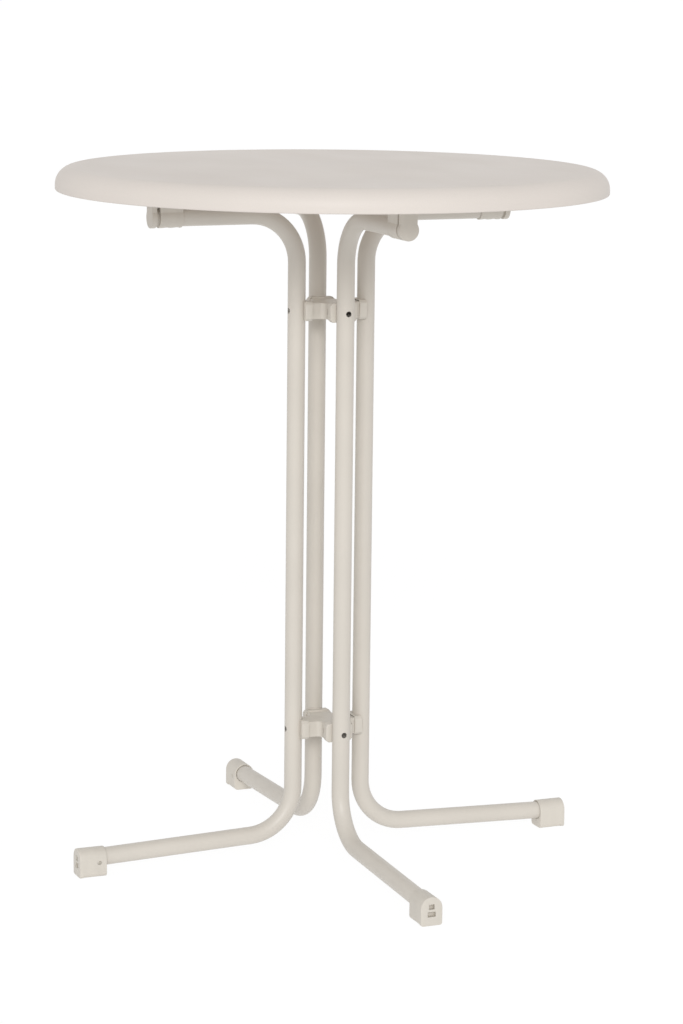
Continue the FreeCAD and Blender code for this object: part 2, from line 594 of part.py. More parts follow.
os.makedirs("parts", exist_ok=True)
for node in nodes:
    node.Shape.exportStep(f"parts/{node.Label}.step")
    box = node.Shape.BoundBox
    print(f"{node.Label}: {len(node.Shape.Solids)} solids, {node.Shape.Volume:.0f} mm3,",
          f"x {box.XMin:.1f} to {box.XMax:.1f}, y {box.YMin:.1f} to {box.YMax:.1f},",
          f"z {box.ZMin:.1f} to {box.ZMax:.1f}")
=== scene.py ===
import math

import bmesh
import bpy
from bpy.props import FloatProperty, FloatVectorProperty, IntProperty, PointerProperty
from mathutils import Matrix, Vector


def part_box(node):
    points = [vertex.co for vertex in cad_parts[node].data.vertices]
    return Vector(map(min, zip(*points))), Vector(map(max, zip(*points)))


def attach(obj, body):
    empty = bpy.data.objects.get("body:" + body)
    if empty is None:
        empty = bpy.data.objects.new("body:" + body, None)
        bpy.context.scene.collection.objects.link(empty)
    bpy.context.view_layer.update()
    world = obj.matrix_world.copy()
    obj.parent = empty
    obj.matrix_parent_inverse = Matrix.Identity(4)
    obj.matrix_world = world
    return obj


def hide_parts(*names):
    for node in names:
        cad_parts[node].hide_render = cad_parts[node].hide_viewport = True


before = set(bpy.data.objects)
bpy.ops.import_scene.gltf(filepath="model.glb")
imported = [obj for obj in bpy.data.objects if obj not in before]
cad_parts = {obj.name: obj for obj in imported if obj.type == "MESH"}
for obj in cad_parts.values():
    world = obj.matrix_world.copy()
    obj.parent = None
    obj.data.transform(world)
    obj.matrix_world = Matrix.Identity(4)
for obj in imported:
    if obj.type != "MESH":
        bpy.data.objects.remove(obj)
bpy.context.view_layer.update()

bl_info = {
    "name": "Bar table",
    "version": (1, 0, 0),
    "blender": (4, 5, 0),
    "location": "3D View > Sidebar > Bar Table",
    "description": "Dresses a bar table: rounded mouldings, screws, finishes and a plain white studio",
    "category": "Object",
}

# The table looks alike from four sides; pieces are drawn on the right one, along +X.
SIDES = ("right", "rear", "left", "front")
HUBS = ("upper", "lower")
FULL_TURN = 2 * math.pi
HALF_TURN = FULL_TURN / 2
QUARTER = FULL_TURN / 4
TURNS = [number * QUARTER for number in range(len(SIDES))]
OUTWARD = Vector((1, 0, 0))
UP = Vector((0, 0, 1))

WELD = 1e-6                   # vertices this near to each other are one
CREASE = math.radians(28)     # an edge that turns more than this is a real edge
SQUARE_ON = 0.999             # a face lies across an axis if its normal has this much of it
ROUND_SIDES = 48              # sides of a small round piece
HEX_SIDES = 6                 # sides of a nut and of the key of a hub bolt
ARC_STEPS = 10                # flats along a short arc
NUT_STEPS = 2                 # flats across a rounded edge of a nut
WHITE = (1.0, 1.0, 1.0, 1.0)
MATT_WHITE = (0.9, 0.9, 0.9, 1.0)
FLOOR_GAP = 0.0002            # keeps the floor and the soles of the feet out of one plane

# Sockets of a Mix node that mixes two colours
MIX_SHARE, MIX_FIRST, MIX_LAST, MIX_RESULT = 0, 6, 7, 2

# Shares by which the details of a screw follow from its head and shank
CAP_ROUND = 0.14              # rounding of a tall head, of its height
PAN_ROUND = 0.45              # rounding of a low head, of its height
TIP_ROUND = 0.2               # cut at the tip, of the radius of the shank
KEY_DEPTH = 0.5               # depth of the recess for a key, of the height of the head
CROSS_REACH = 0.58            # reach of a cross recess, of the radius of the head
CROSS_ARM = 0.26              # half the width of its arms, of that reach
CROSS_TAPER = 0.55            # size of its floor, of its mouth

# Turns that take a screw from +Z, where it is drawn, to where its head points
HEAD_OUT = Matrix.Rotation(QUARTER, 4, "Y")
HEAD_DOWN = Matrix.Rotation(HALF_TURN, 4, "X")
HEAD_ASIDE = Matrix.Rotation(-QUARTER, 4, "X")


class TableSizes(bpy.types.PropertyGroup):
    """Sizes of the pieces that are modelled here"""

    top_edge_round: FloatProperty(
        name="Upper edge of the top", description="Rounding between the top's face and its rim",
        default=0.028, min=0.001, unit="LENGTH")
    top_lower_round: FloatProperty(
        name="Lower edge of the top", description="Rounding between the rim and the underside",
        default=0.002, min=0.0005, unit="LENGTH")
    top_steps: IntProperty(
        name="Steps of the top", description="Flats round the rim of the top", default=256, min=32)
    top_round_steps: IntProperty(
        name="Steps of its edges", description="Flats across the roundings of the top", default=16, min=1)
    mould_round: FloatProperty(
        name="Moulded edges", description="Rounding that the mould leaves on hubs, holders and feet",
        default=0.0007, min=0.0001, unit="LENGTH")
    tube_radius: FloatProperty(
        name="Tube", description="Outer radius of the tubes", default=0.014, unit="LENGTH")
    fit_gap: FloatProperty(
        name="Fit", description="Clearance round a tube, a nut or the head of a foot screw",
        default=0.00025, unit="LENGTH")
    upright_radius: FloatProperty(
        name="Uprights", description="Axis of the table to the centre of an upright",
        default=0.0585, unit="LENGTH")
    hub_height: FloatProperty(
        name="Hub arm height", description="Height of the hub arms", default=0.025, unit="LENGTH")
    hub_arm: FloatProperty(
        name="Hub arm width", description="Width of the hub arms", default=0.038, unit="LENGTH")
    hub_corner: FloatProperty(
        name="Hub corner", description="Hollow rounding between two hub arms", default=0.008, unit="LENGTH")
    saddle_width: FloatProperty(
        name="Saddle width", description="Width of the saddle at the end of a hub arm",
        default=0.044, unit="LENGTH")
    saddle_thickness: FloatProperty(
        name="Saddle thickness", description="Thickness of the saddle", default=0.012, unit="LENGTH")
    saddle_chamfer: FloatProperty(
        name="Saddle corner", description="Cut corners of the saddle", default=0.004, unit="LENGTH")
    hub_hollow: FloatProperty(
        name="Hub hollow", description="Diameter of the hollow in the underside of a hub",
        default=0.022, unit="LENGTH")
    hub_hollow_depth: FloatProperty(
        name="Hub hollow depth", description="Depth of that hollow", default=0.016, unit="LENGTH")
    holder_neck: FloatProperty(
        name="Holder neck", description="Width of the block between sleeve and top",
        default=0.027, unit="LENGTH")
    holder_plate: FloatProperty(
        name="Holder plate", description="End plate of a holder", default=0.008, unit="LENGTH")
    holder_groove: FloatProperty(
        name="Holder groove", description="Width of the groove behind the end plate",
        default=0.005, unit="LENGTH")
    holder_bridge: FloatProperty(
        name="Holder bridge", description="Block that is left above the groove", default=0.008, unit="LENGTH")
    holder_core: FloatProperty(
        name="Holder core", description="Diameter of the core inside the groove",
        default=0.024, unit="LENGTH")
    holder_wall: FloatProperty(
        name="Holder wall", description="Wall between the bore and the groove", default=0.0014, unit="LENGTH")
    foot_plate: FloatProperty(
        name="Foot plate", description="End plate of a foot", default=0.006, unit="LENGTH")
    foot_corner: FloatProperty(
        name="Foot corner", description="Rounded lower corners of a foot", default=0.006, unit="LENGTH")
    foot_plate_corner: FloatProperty(
        name="Foot plate corner", description="Rounded lower corners of its end plate",
        default=0.004, unit="LENGTH")
    foot_end_wall: FloatProperty(
        name="Foot end wall", description="End of a leg to the outer end of its foot",
        default=0.012, unit="LENGTH")
    foot_mouth: FloatProperty(
        name="Foot mouth", description="Extra radius of the mouth round the leg",
        default=0.0008, unit="LENGTH")
    foot_mouth_depth: FloatProperty(
        name="Foot mouth depth", description="Depth of that mouth", default=0.0015, unit="LENGTH")
    foot_pocket_depth: FloatProperty(
        name="Foot pockets", description="Depth of the two pockets in the end plate",
        default=0.007, unit="LENGTH")
    foot_pocket_height: FloatProperty(
        name="Foot pocket height", description="Height of each pocket", default=0.008, unit="LENGTH")
    foot_upper_pocket: FloatProperty(
        name="Upper pocket", description="Width of the upper pocket", default=0.009, unit="LENGTH")
    foot_lower_pocket: FloatProperty(
        name="Lower pocket", description="Width of the lower pocket", default=0.013, unit="LENGTH")
    foot_rib: FloatProperty(
        name="Foot rib", description="Rib between the two pockets", default=0.0035, unit="LENGTH")
    leg_slope: FloatProperty(
        name="Leg slope", description="Fall of a leg towards its foot",
        default=math.radians(1.9), subtype="ANGLE", unit="ROTATION")
    round_steps: IntProperty(
        name="Steps of a rounding", description="Flats across a rounded edge", default=4, min=1)
    hub_bolt_head: FloatProperty(
        name="Hub bolt head", description="Head height of a hub bolt", default=0.005, unit="LENGTH")
    hub_bolt_shank: FloatProperty(
        name="Hub bolt shank", description="Shank diameter of a hub bolt", default=0.005, unit="LENGTH")
    hub_bolt_length: FloatProperty(
        name="Hub bolt length", description="Shank length of a hub bolt", default=0.020, unit="LENGTH")
    hub_bolt_key: FloatProperty(
        name="Hub bolt key", description="Width of the six-sided socket", default=0.004, unit="LENGTH")
    holder_bolt_head: FloatProperty(
        name="Holder bolt head", description="Head height of a holder bolt", default=0.0035, unit="LENGTH")
    holder_bolt_width: FloatProperty(
        name="Holder bolt width", description="Head diameter of a holder bolt", default=0.011, unit="LENGTH")
    holder_bolt_shank: FloatProperty(
        name="Holder bolt shank", description="Shank diameter of a holder bolt", default=0.006, unit="LENGTH")
    holder_bolt_pitch: FloatProperty(
        name="Holder bolt pitch", description="First to second bolt of a holder",
        default=0.016, unit="LENGTH")
    holder_access: FloatProperty(
        name="Holder access", description="Hole under a holder that lets a bolt head pass",
        default=0.012, unit="LENGTH")
    foot_screw_head: FloatProperty(
        name="Foot screw head", description="Head height of a foot screw", default=0.0018, unit="LENGTH")
    foot_screw_shank: FloatProperty(
        name="Foot screw shank", description="Shank diameter of a foot screw", default=0.0035, unit="LENGTH")
    foot_screw_length: FloatProperty(
        name="Foot screw length", description="Shank length of a foot screw", default=0.006, unit="LENGTH")
    nut_thickness: FloatProperty(
        name="Nut", description="Thickness of a hub nut", default=0.004, unit="LENGTH")
    nut_round: FloatProperty(
        name="Nut edges", description="Rounding of the edges of a nut", default=0.00035, unit="LENGTH")


class TableFinish(bpy.types.PropertyGroup):
    """Colours of the finishes"""

    top_colour: FloatVectorProperty(
        name="Top", description="Coating of the moulded top", default=(0.69, 0.635, 0.587),
        subtype="COLOR", min=0, max=1)
    tube_colour: FloatVectorProperty(
        name="Tubes", description="Powder coat of the tubes", default=(0.605, 0.565, 0.507),
        subtype="COLOR", min=0, max=1)
    plastic_colour: FloatVectorProperty(
        name="Mouldings", description="Plastic of hubs, holders and feet", default=(0.615, 0.575, 0.513),
        subtype="COLOR", min=0, max=1)
    zinc_colour: FloatVectorProperty(
        name="Zinc", description="Plating of the bolts and nuts", default=(0.60, 0.565, 0.50),
        subtype="COLOR", min=0, max=1)
    brass_colour: FloatVectorProperty(
        name="Brass", description="Threaded inserts", default=(0.71, 0.52, 0.24),
        subtype="COLOR", min=0, max=1)


class TableStage(bpy.types.PropertyGroup):
    """Where the camera stands and how the studio is lit"""

    camera_place: FloatVectorProperty(
        name="Camera", description="Place of the camera", default=(-1.8055, -4.4248, 1.4465),
        subtype="TRANSLATION", unit="LENGTH")
    heading: FloatProperty(
        name="Heading", description="Turn of the view from +X towards +Y",
        default=math.radians(67.57), subtype="ANGLE", unit="ROTATION")
    pitch: FloatProperty(
        name="Pitch", description="How far the camera looks down",
        default=math.radians(10.567), subtype="ANGLE", unit="ROTATION")
    roll: FloatProperty(
        name="Roll", description="Turn of the camera about its view",
        default=math.radians(0.617), subtype="ANGLE", unit="ROTATION")
    lens: FloatProperty(
        name="Lens", description="Focal length in millimetres on the 36 mm side", default=107.79, min=10)
    floor_size: FloatProperty(
        name="Floor", description="Half the width of the floor", default=150.0, unit="LENGTH")
    floor_white: FloatProperty(
        name="Floor white", description="Share of plain white in the floor, the rest takes the shadow",
        default=0.90, min=0, max=1, subtype="FACTOR")
    floor_bounce: FloatProperty(
        name="Floor bounce", description="Share of plain white in the light that the floor throws up",
        default=0.5, min=0, max=1, subtype="FACTOR")
    floor_glow: FloatProperty(
        name="Floor glow", description="Strength of that white", default=1.04, min=0)
    key_power: FloatProperty(
        name="Lamps", description="Strength of each of the two soft lamps", default=0.72, min=0)
    key_rise: FloatProperty(
        name="Lamp height", description="Angle of the lamps above the floor",
        default=math.radians(22), subtype="ANGLE", unit="ROTATION")
    key_turn: FloatProperty(
        name="Lamp turn", description="Angle of each lamp to the side of the camera",
        default=math.radians(6), subtype="ANGLE", unit="ROTATION")
    key_spread: FloatProperty(
        name="Lamp softness", description="Angular size of the lamps",
        default=math.radians(20), subtype="ANGLE", unit="ROTATION")
    room_light: FloatProperty(
        name="Room", description="Strength of the light from all round", default=0.64, min=0)


class Shade:
    """A socket of a shader tree that takes part in Python arithmetic, or a tree to start from"""

    def __init__(self, tree, socket=None):
        self.tree = tree
        self.socket = socket

    def node(self, kind, settings, inputs, output=0):
        """Add a node of any type: its settings first, then the values or links of its sockets."""
        made = self.tree.nodes.new(kind)
        for name, setting in settings.items():
            setattr(made, name, setting)
        for key, given in inputs.items():
            if isinstance(given, Shade):
                self.tree.links.new(given.socket, made.inputs[key])
            else:
                made.inputs[key].default_value = given
        return Shade(self.tree, made.outputs[output]) if made.outputs else None

    def maths(self, operation, first, second):
        """Result of an operation on two values."""
        return self.node("ShaderNodeMath", {"operation": operation}, {0: first, 1: second})

    def __add__(self, other):
        return self.maths("ADD", self, other)

    def __sub__(self, other):
        return self.maths("SUBTRACT", self, other)

    def __rsub__(self, other):
        return self.maths("SUBTRACT", other, self)

    def __mul__(self, other):
        return self.maths("MULTIPLY", self, other)

    __radd__ = __add__
    __rmul__ = __mul__

    def stretch(self, scale):
        """Coordinates scaled by their own amount along each axis."""
        return self.node("ShaderNodeVectorMath", {"operation": "MULTIPLY"}, {0: self, 1: scale})

    def noise(self, size, detail):
        """Noise whose lumps are about as wide as the size in metres."""
        return self.node("ShaderNodeTexNoise", {}, {"Vector": self, "Scale": 1 / size, "Detail": detail})

    def between(self, low, high):
        """Nought below the low value, one above the high one and a smooth step from one to the other."""
        return self.node("ShaderNodeMapRange", {"interpolation_type": "SMOOTHSTEP"},
                         {"Value": self, "From Min": low, "From Max": high})

    def mixed(self, other, share):
        """This value with a share of another one in it."""
        return self + (other - self) * share

    def ranged(self, least, most):
        """Value from the least to the most as this one goes from nought to one."""
        return self * (most - least) + least

    def tint(self, colour, first, last):
        """Colour times a factor from the first to the last as this value goes from nought to one."""
        ends = {MIX_FIRST: tinted(colour, first), MIX_LAST: tinted(colour, last)}
        return self.node("ShaderNodeMix", {"data_type": "RGBA"}, {MIX_SHARE: self, **ends}, output=MIX_RESULT)

    def bump(self, depth):
        """Surface normal of a relief that is as deep as given, in metres."""
        return self.node("ShaderNodeBump", {}, {"Height": self, "Distance": depth, "Strength": 1.0})


def empty_tree(owner):
    """Clear the shader tree of a material or a world, to build on it."""
    owner.use_nodes = True
    owner.node_tree.nodes.clear()
    return Shade(owner.node_tree)


class Finish:
    """A new material: its coordinates to build on and the shader that takes the results"""

    def __init__(self, name):
        self.material = bpy.data.materials.new(name)
        self.tree = empty_tree(self.material)
        self.place = self.tree.node("ShaderNodeTexCoord", {}, {}, output="Object")

    def feed(self, **inputs):
        """Give the shader's sockets their values or links; a socket's name has spaces for underscores."""
        sockets = {name.replace("_", " "): given for name, given in inputs.items()}
        shader = self.tree.node("ShaderNodeBsdfPrincipled", {}, sockets)
        self.tree.node("ShaderNodeOutputMaterial", {}, {"Surface": shader})
        return self.material


def tinted(colour, factor):
    """Colour made lighter or darker, with the alpha that sockets ask for."""
    return (*(min(1.0, channel * factor) for channel in colour), 1.0)


def top_finish(colour):
    """Satin coating over pressed board: faint clouds, fine speckle, a slightly uneven sheen."""
    finish = Finish("satin_board")
    clouds = finish.place.noise(size=0.22, detail=4).between(low=0.3, high=0.7)
    speckle = finish.place.noise(size=0.0016, detail=1).between(low=0.35, high=0.65)
    smears = finish.place.stretch((1.0, 0.35, 1.0)).noise(size=0.09, detail=5).between(low=0.25, high=0.75)
    ripple = finish.place.noise(size=0.006, detail=1)
    grain = finish.place.noise(size=0.0011, detail=2).mixed(ripple, share=0.3)
    return finish.feed(Base_Color=clouds.mixed(speckle, share=0.4).tint(colour, first=0.975, last=1.02),
                       Roughness=smears.ranged(least=0.46, most=0.56),
                       Specular_IOR_Level=0.35,
                       Normal=grain.bump(depth=0.00006))


def tube_finish(colour):
    """Powder coat: the gentle waves of its skin, fine grit and small changes of tone."""
    finish = Finish("powder_coat")
    waves = finish.place.noise(size=0.0028, detail=2)
    grit = finish.place.noise(size=0.0005, detail=1)
    clouds = finish.place.noise(size=0.11, detail=4).between(low=0.3, high=0.7)
    rubbed = finish.place.stretch((1.0, 1.0, 0.3)).noise(size=0.03, detail=6).between(low=0.55, high=0.75)
    tone = clouds.mixed(grit.between(low=0.35, high=0.65), share=0.3)
    dull = rubbed.ranged(least=0.36, most=0.44) + grit.ranged(least=0.0, most=0.06)
    return finish.feed(Base_Color=tone.tint(colour, first=0.97, last=1.025),
                       Roughness=dull,
                       Specular_IOR_Level=0.4,
                       Normal=waves.mixed(grit, share=0.25).bump(depth=0.00012))


def plastic_finish(name, colour):
    """Moulded plastic: the etched grain of the mould, flow marks and a dry sheen."""
    finish = Finish(name)
    grain = finish.place.node("ShaderNodeTexVoronoi", {"feature": "SMOOTH_F1"},
                              {"Vector": finish.place, "Scale": 1100.0, "Smoothness": 0.6})
    flow = finish.place.stretch((1.0, 1.0, 0.25)).noise(size=0.018, detail=5).between(low=0.3, high=0.7)
    dust = finish.place.noise(size=0.004, detail=4).between(low=0.5, high=0.8)
    return finish.feed(Base_Color=flow.mixed(grain, share=0.3).tint(colour, first=0.96, last=1.025),
                       Roughness=dust.ranged(least=0.46, most=0.58),
                       Normal=grain.bump(depth=0.00008))


def zinc_finish(colour):
    """Plated steel: crystal patches of the zinc, duller spots and fine tool marks."""
    finish = Finish("zinc_plate")
    patches = finish.place.node("ShaderNodeTexVoronoi", {}, {"Vector": finish.place, "Scale": 700.0},
                                output="Color")
    patch_tone = finish.place.node("ShaderNodeSeparateColor", {}, {"Color": patches})
    marks = finish.place.stretch((1.0, 1.0, 9.0)).noise(size=0.002, detail=3)
    cast = finish.place.noise(size=0.005, detail=3).between(low=0.4, high=0.65)
    dull = patch_tone.ranged(least=0.34, most=0.48) + marks.ranged(least=0.0, most=0.10)
    return finish.feed(Base_Color=cast.tint(colour, first=0.93, last=1.05),
                       Roughness=dull,
                       Metallic=1.0,
                       Normal=marks.mixed(patch_tone, share=0.4).bump(depth=0.00002))


def brass_finish(colour):
    """Turned brass: the fine rings of the lathe and darker, dulled patches."""
    finish = Finish("turned_brass")
    rings = finish.place.stretch((0.2, 0.2, 1.0)).noise(size=0.0004, detail=1)
    dulled = finish.place.noise(size=0.003, detail=4).between(low=0.45, high=0.7)
    return finish.feed(Base_Color=dulled.tint(colour, first=1.05, last=0.8),
                       Roughness=dulled.ranged(least=0.24, most=0.42),
                       Metallic=1.0,
                       Normal=rings.bump(depth=0.00003))


def add_piece(name, shape, nodes, material):
    """Make a finished shape a piece of the table that is shown in place of CAD nodes."""
    mesh = bpy.data.meshes.new(name)
    shape.to_mesh(mesh)
    shape.free()
    mesh.shade_smooth()
    mesh.set_sharp_from_angle(angle=CREASE)
    mesh.materials.append(material)
    piece = bpy.data.objects.new(name, mesh)
    bpy.context.scene.collection.objects.link(piece)
    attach(piece, "root")
    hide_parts(*nodes)


def add_mouldings(kind, make, sizes, plastic):
    """Make a moulding for each of the four sides."""
    for turn, side in zip(TURNS, SIDES):
        shape = make(sizes)
        shape.transform(Matrix.Rotation(turn, 4, "Z"))
        node = f"{kind}_{side}"
        add_piece(f"{node}_moulding", shape, [node], plastic)


def chain(shape, points):
    """Open chain of edges through points of radius and height; returns its corners."""
    verts = [shape.verts.new((radius, 0, height)) for radius, height in points]
    for pair in zip(verts, verts[1:]):
        shape.edges.new(pair)
    return verts


def turn_round(shape, steps):
    """Spin a chain of edges round the Z axis."""
    bmesh.ops.spin(shape, geom=shape.verts[:] + shape.edges[:], cent=(0, 0, 0), axis=(0, 0, 1),
                   angle=FULL_TURN, steps=steps, use_merge=True)
    bmesh.ops.remove_doubles(shape, verts=shape.verts, dist=WELD)
    bmesh.ops.recalc_face_normals(shape, faces=shape.faces)


def loop(shape, points):
    """Closed loop of edges through points."""
    verts = [shape.verts.new(point) for point in points]
    return [shape.edges.new(pair) for pair in zip(verts, verts[1:] + verts[:1])]


def arc(middle, radius, start, sweep, steps=ARC_STEPS):
    """Flat points along an arc, with both its ends."""
    turns = [start + sweep * step / steps for step in range(steps + 1)]
    return [(middle[0] + radius * math.cos(turn), middle[1] + radius * math.sin(turn)) for turn in turns]


def circle(middle, radius, sides=ROUND_SIDES):
    """Flat points round a circle."""
    return arc(middle, radius, QUARTER, FULL_TURN, sides)[:-1]


def upright(x, points):
    """Flat points stood up in a plane across X."""
    return [Vector((x, *point)) for point in points]


def level(height, points):
    """Flat points laid in a level plane."""
    return [Vector((*point, height)) for point in points]


def box_points(width, low, high):
    """Flat corners of a rectangle that is centred sideways."""
    return [(-width / 2, low), (width / 2, low), (width / 2, high), (-width / 2, high)]


def hex_corner(width):
    """Middle to corner of six sides, from their width across flats."""
    return width / math.sqrt(3)


def hexagon(width):
    """Flat corners of six sides."""
    return circle((0, 0), hex_corner(width), HEX_SIDES)


def in_four_turns(points):
    """Flat points repeated at every quarter of a turn."""
    return [Matrix.Rotation(turn, 2) @ Vector(point) for turn in TURNS for point in points]


def cross(reach, half_width):
    """Flat corners of a cross."""
    return in_four_turns(((reach, -half_width), (reach, half_width), (half_width, half_width)))


def creases(shape):
    """Edges at which the surface turns sharply."""
    return [edge for edge in shape.edges if edge.is_manifold and edge.calc_face_angle() > CREASE]


def lies_across(item, way, place):
    """Whether an edge or a face lies in the plane across a direction, at a place along it."""
    return all(abs(vert.co.dot(way) - place) < WELD for vert in item.verts)


def soften(shape, edges, width, steps):
    """Round the edges given."""
    bmesh.ops.bevel(shape, geom=edges, offset=width, affect="EDGES", segments=steps, profile=0.5, material=-1)


def pierce(shape, face, rims):
    """Open loops of edges in a flat face."""
    border = face.edges[:]
    normal = face.normal.copy()
    bmesh.ops.delete(shape, geom=[face], context="FACES_ONLY")
    bmesh.ops.triangle_fill(shape, edges=border + [edge for rim in rims for edge in rim], normal=normal,
                            use_beauty=True, use_dissolve=True)


def sink(shape, rim, way, taper=1.0):
    """Walls from a rim along the way given; returns the edges at their far end, scaled by the taper."""
    made = bmesh.ops.extrude_edge_only(shape, edges=rim)["geom"]
    far = [item for item in made if isinstance(item, bmesh.types.BMVert)]
    middle = sum((vert.co for vert in far), Vector()) / len(far)
    bmesh.ops.scale(shape, vec=(taper, taper, taper), space=Matrix.Translation(-middle), verts=far)
    bmesh.ops.translate(shape, vec=way, verts=far)
    return [item for item in made if isinstance(item, bmesh.types.BMEdge) and set(item.verts) <= set(far)]


def pocket(shape, rim, way, taper=1.0):
    """Walls from a rim and a floor."""
    bmesh.ops.contextual_create(shape, geom=sink(shape, rim, way, taper))


def block(shape, points, way):
    """Closed block that an outline leaves along the way given."""
    rim = loop(shape, points)
    bmesh.ops.contextual_create(shape, geom=rim)
    pocket(shape, rim, way)
    bmesh.ops.recalc_face_normals(shape, faces=shape.faces)


def carve(shape, cutter):
    """Take the room of a cutter out of a shape; returns what is left."""
    pair = []
    for part in (shape, cutter):
        mesh = bpy.data.meshes.new("carving")
        part.to_mesh(mesh)
        part.free()
        pair.append(bpy.data.objects.new("carving", mesh))
        bpy.context.scene.collection.objects.link(pair[-1])
    cut = pair[0].modifiers.new("cut", "BOOLEAN")
    cut.object = pair[1]
    cut.operation = "DIFFERENCE"
    cut.solver = "EXACT"
    left = bmesh.new()
    left.from_object(pair[0], bpy.context.evaluated_depsgraph_get())
    for item in pair:
        bpy.data.meshes.remove(item.data)
    return left


def farthest(shape, way):
    """Face whose middle lies farthest along a direction."""
    return max(shape.faces, key=lambda face: face.calc_center_median().dot(way))


def nearest(shape, spot):
    """Face whose middle lies nearest to a spot."""
    return min(shape.faces, key=lambda face: (face.calc_center_bounds() - spot).length)


def screw(sizes, head, shank, head_round, key, taper=1.0):
    """Screw along Z with its seat at nought: head and shank by radius and length, key by its outline."""
    head_radius, head_height = head
    shank_radius, shank_length = shank
    shape = bmesh.new()
    chain(shape, ((head_radius, head_height), (head_radius, 0),
                  (shank_radius, 0), (shank_radius, -shank_length)))
    turn_round(shape, ROUND_SIDES)
    bmesh.ops.holes_fill(shape, edges=[edge for edge in shape.edges if edge.is_boundary])
    bmesh.ops.recalc_face_normals(shape, faces=shape.faces)
    for height, width, steps in ((head_height, head_height * head_round, sizes.round_steps),
                                 (-shank_length, shank_radius * TIP_ROUND, 1)):
        soften(shape, [edge for edge in shape.edges if lies_across(edge, UP, height)], width, steps)
    rim = loop(shape, level(head_height, key))
    pierce(shape, farthest(shape, UP), [rim])
    pocket(shape, rim, UP * (-head_height * KEY_DEPTH), taper)
    bmesh.ops.recalc_face_normals(shape, faces=shape.faces)
    return shape


def pan_screw(sizes, head, shank):
    """Screw with a low head and a cross recess."""
    reach = head[0] * CROSS_REACH
    return screw(sizes, head, shank, PAN_ROUND, cross(reach, reach * CROSS_ARM), CROSS_TAPER)


def on_four_sides(shape):
    """Repeat a shape from the right side on the other three."""
    bmesh.ops.spin(shape, geom=shape.verts[:] + shape.edges[:] + shape.faces[:], cent=(0, 0, 0),
                   axis=(0, 0, 1), angle=TURNS[-1], steps=len(TURNS) - 1, use_duplicate=True)


class TABLE_OT_top(bpy.types.Operator):
    """Turn the round top from half its profile"""

    bl_idname = "bar_table.top"
    bl_label = "Round top"

    def execute(self, context):
        sizes = context.scene.table_sizes
        low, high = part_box("table_top")
        shape = bmesh.new()
        corners = chain(shape, ((0, low.z), (high.x, low.z), (high.x, high.z), (0, high.z)))
        for corner, width in ((corners[1], sizes.top_lower_round), (corners[2], sizes.top_edge_round)):
            bmesh.ops.bevel(shape, geom=[corner], offset=width, affect="VERTICES",
                            segments=sizes.top_round_steps, profile=0.5, material=-1)
        turn_round(shape, sizes.top_steps)
        add_piece("moulded_top_board", shape, ["table_top"],
                  top_finish(context.scene.table_finish.top_colour))
        return {"FINISHED"}


class TABLE_OT_tubes(bpy.types.Operator):
    """Coat the bent tubes"""

    bl_idname = "bar_table.tubes"
    bl_label = "Tubes"

    def execute(self, context):
        coat = tube_finish(context.scene.table_finish.tube_colour)
        for side in SIDES:
            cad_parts[f"column_tube_{side}"].material_slots[0].material = coat
        return {"FINISHED"}


